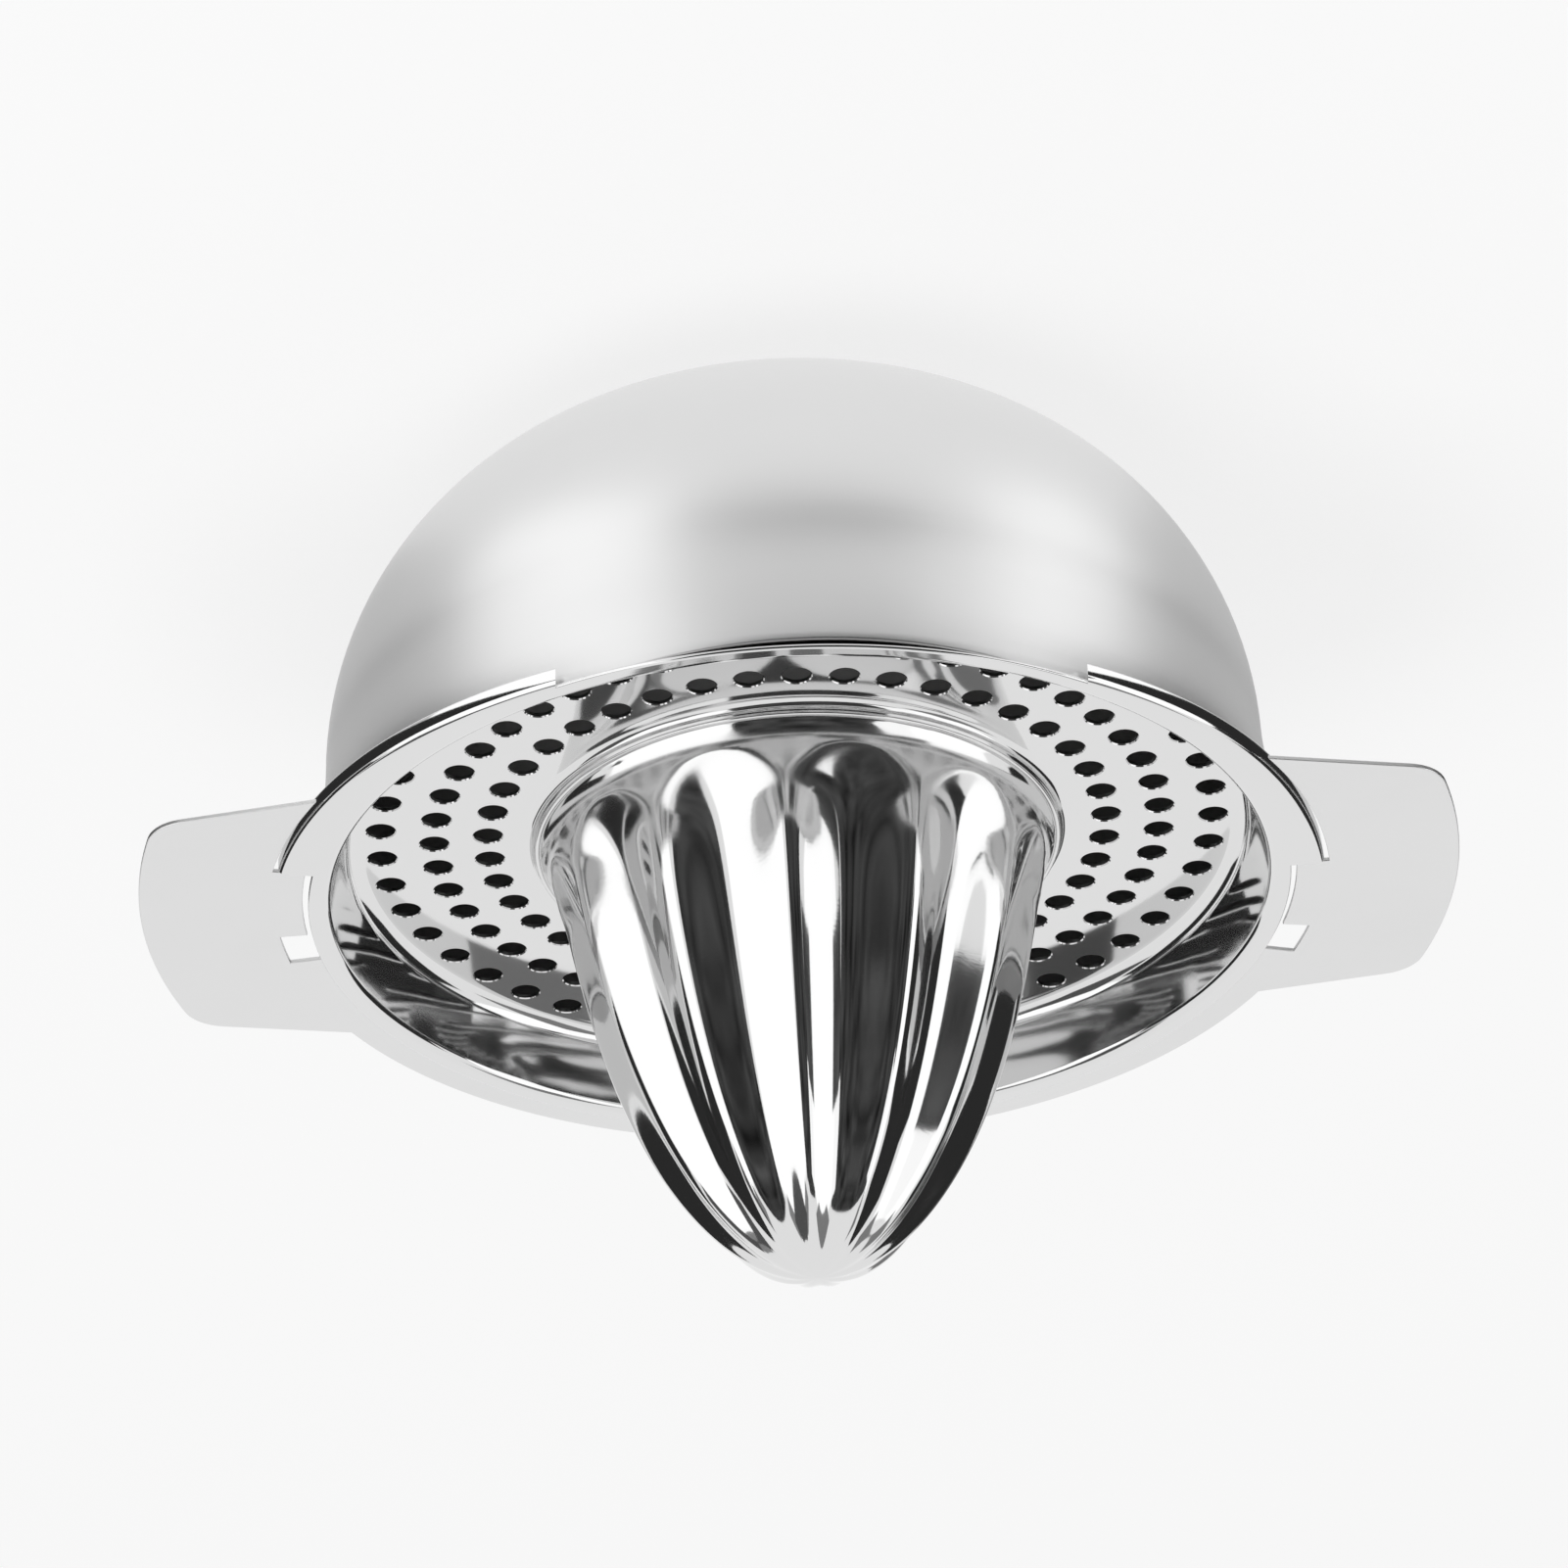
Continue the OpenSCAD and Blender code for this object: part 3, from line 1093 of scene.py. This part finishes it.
@dataclass(frozen=True)
class Card:
    """A flat card beside the set that only the metal's reflections show."""

    cloud_scale: ClassVar[float] = 5.0
    table_z: ClassVar[float] = 5.0 * MM

    name: str
    spot: tuple[float, float, float]
    width: float
    height: float
    glow: float
    clouds: float = 0.0

    def build(self) -> None:
        """Stands the card at its spot, turned to the object, or lays it flat near the floor."""
        Bench.clear()
        away = Vector(self.spot) - Vector((0, 0, MIDDLE_Z))
        facing = Vector((0, 0, 1)) if abs(self.spot[2]) < self.table_z else away
        turn = facing.to_track_quat("Z", "Y").to_euler()
        bpy.ops.mesh.primitive_plane_add(size=1, location=self.spot, rotation=turn)
        bpy.context.object.scale = (self.width, self.height, 1)
        obj = Bench.named(self.name)
        made = bpy.data.materials.new(self.name)
        bench = ShaderBench(made)
        shade: Wire | tuple[float, ...] = (1.0, 1.0, 1.0, 1.0)
        if self.clouds:
            place = bench.node("ShaderNodeTexCoord", {}, {}, "Object")
            noise = bench.node(
                "ShaderNodeTexNoise", {}, {"Vector": place, "Scale": self.cloud_scale, "Detail": 2.0}
            )
            shade = (1 + self.clouds * (noise - 0.5)).math("MAXIMUM", 0.0)
        glow = bench.node("ShaderNodeEmission", {}, {"Color": shade, "Strength": self.glow})
        bench.node("ShaderNodeOutputMaterial", {}, {"Surface": glow})
        obj.data.materials.append(made)
        obj.visible_camera = obj.visible_diffuse = obj.visible_shadow = obj.visible_transmission = False


def aim(azimuth: float, elevation: float, distance: float = 1.0) -> tuple[float, float, float]:
    """A spot around the object.

    Args:
        azimuth: Degrees from the camera's side towards the left of the picture.
        elevation: Degrees above the horizon.
        distance: Distance in metres.

    Returns:
        The spot in the frame.
    """
    a, e = math.radians(azimuth), math.radians(elevation)
    flat = distance * math.cos(e)
    return (flat * math.sin(a), -flat * math.cos(a), MIDDLE_Z + distance * math.sin(e))


CARDS = (
    Card("dark_front", aim(-12, 18), 1.32, 1.95, 0.05, 3.6),
    Card("soft_left", aim(57, 0, 0.97), 1.06, 2.30, 1.4),
    Card("soft_right", aim(-72, 0, 0.97), 0.66, 2.30, 1.4),
    Card("soft_right_high", aim(-47, 34, 0.95), 0.22, 0.55, 1.3),
    Card("dark_right_front", aim(-52, 8, 0.93), 0.24, 0.40, 0.08, 2.0),
    Card("dark_left", aim(116, 7.5), 0.98, 0.52, 0.03),
    Card("grey_low_left", aim(122, -28), 1.20, 0.70, 0.66),
    Card("grey_low_right", aim(-130, -28), 1.10, 0.70, 0.66),
    Card("dark_left_high", aim(93, 42), 0.36, 0.55, 0.1),
    Card("dark_right", aim(-104, -2), 0.52, 0.50, 0.03),
    Card("dark_right_high", aim(-123, 11.5), 0.66, 0.67, 0.03),
    Card("grey_right_back", aim(-149, -4), 0.28, 0.35, 0.22),
    Card("grey_above_right", aim(-95, 54), 0.50, 0.30, 0.25),
    Card("grey_above_left", aim(74, 56, 1.2), 0.60, 0.30, 0.28),
    Card("dark_table_right", (-0.18, 0.03, 0.002), 0.12, 0.30, 0.03),
    Card("dark_table_left", (0.18, -0.05, 0.002), 0.12, 0.28, 0.03),
    # A grey card on the floor in front of the bowl, seen only in the metal: a painted reflection of the
    # floor's shadow there.
    Card("painted_floor_shadow_front", (-0.005, -0.112, 0.002), 0.085, 0.030, 0.72),
)


@dataclass
class Studio:
    """A pale floor, soft light, cards for the metal to mirror, and the camera."""

    target: tuple[float, float, float] = (1.4 * MM, -13.5 * MM, 50.0 * MM)
    elevation: float = 30.31
    roll: float = 177.40
    distance: float = 799.15 * MM
    focal_px: float = 6465.146
    sensor: float = 36.0
    sky_light: float = 0.6
    floor_r: float = 6.0
    floor_grey: float = 0.9
    floor_glow: float = 0.75
    lamp_at: tuple[float, float, float] = (0.25, -0.55, 1.3)
    lamp_size: float = 0.9
    lamp_power: float = 7.0

    def camera(self) -> None:
        """Places the camera at the photograph's viewing angle."""
        lift, roll = math.radians(self.elevation), math.radians(self.roll)
        back = Vector((0, -math.cos(lift), math.sin(lift)))
        right = Vector((1, 0, 0))
        up = back.cross(right)
        across = math.cos(roll) * right + math.sin(roll) * up
        upward = math.cos(roll) * up - math.sin(roll) * right
        data = bpy.data.cameras.new("camera")
        data.sensor_width = self.sensor
        data.lens = self.focal_px / PHOTO_PX * self.sensor
        data.clip_start, data.clip_end = 0.05, 50
        obj = bpy.data.objects.new("camera", data)
        bpy.context.scene.collection.objects.link(obj)
        place = Matrix((across, upward, back)).transposed().to_4x4()
        place.translation = Vector(self.target) + back * self.distance
        obj.matrix_world = place
        bpy.context.scene.camera = obj

    def world(self) -> None:
        """Makes the surroundings white to the camera and to mirrors, and softer as a light."""
        made = bpy.data.worlds.new("studio")
        bench = ShaderBench(made)
        rays = [
            bench.node("ShaderNodeLightPath", {}, {}, name)
            for name in ("Is Camera Ray", "Is Glossy Ray", "Is Transmission Ray")
        ]
        seen = rays[0].math("MAXIMUM", rays[1]).math("MAXIMUM", rays[2])
        soft = bench.node("ShaderNodeBackground", {}, {"Color": (1, 1, 1, 1), "Strength": self.sky_light})
        white = bench.node("ShaderNodeBackground", {}, {"Color": (1, 1, 1, 1), "Strength": 1.0})
        mixed = bench.node("ShaderNodeMixShader", {}, {0: seen, 1: soft, 2: white})
        bench.node("ShaderNodeOutputWorld", {}, {"Surface": mixed})
        bpy.context.scene.world = made

    def floor(self) -> None:
        """Lays the pale floor, which keeps a light shadow and isn't mirrored in the metal."""
        Bench.clear()
        bpy.ops.mesh.primitive_circle_add(vertices=96, radius=self.floor_r, fill_type="NGON")
        obj = Bench.named("floor")
        made = bpy.data.materials.new("floor_white")
        bench = ShaderBench(made)
        pale = (self.floor_grey, self.floor_grey, self.floor_grey, 1)
        matt = bench.node("ShaderNodeBsdfDiffuse", {}, {"Color": pale})
        glow = bench.node("ShaderNodeEmission", {}, {"Color": (1, 1, 1, 1), "Strength": 1.0})
        mixed = bench.node("ShaderNodeMixShader", {}, {0: self.floor_glow, 1: matt, 2: glow})
        bench.node("ShaderNodeOutputMaterial", {}, {"Surface": mixed})
        obj.data.materials.append(made)
        obj.visible_glossy = False

    def lamp(self) -> None:
        """Hangs a wide soft lamp over the set for the shadow on the floor."""
        data = bpy.data.lights.new("soft_lamp", "AREA")
        data.shape, data.size, data.energy = "DISK", self.lamp_size, self.lamp_power
        obj = bpy.data.objects.new("soft_lamp", data)
        obj.location = self.lamp_at
        obj.rotation_euler = Vector(obj.location).to_track_quat("Z", "Y").to_euler()
        obj.visible_camera = obj.visible_glossy = False
        bpy.context.scene.collection.objects.link(obj)

    def build(self) -> None:
        """Sets up the whole studio."""
        self.world()
        self.floor()
        for card in CARDS:
            card.build()
        self.lamp()
        self.camera()
        bpy.context.scene.view_settings.view_transform = "Standard"


def main() -> None:
    """Builds the studio and the four pieces."""
    logging.basicConfig(level=logging.INFO, format="%(name)s %(message)s")
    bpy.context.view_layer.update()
    Studio().build()
    bowl = Bowl()
    strainer = Strainer(bowl)
    for piece in (bowl, RimPlate(strainer), strainer, Reamer(strainer)):
        piece.make()


if __name__ == "__main__":
    main()
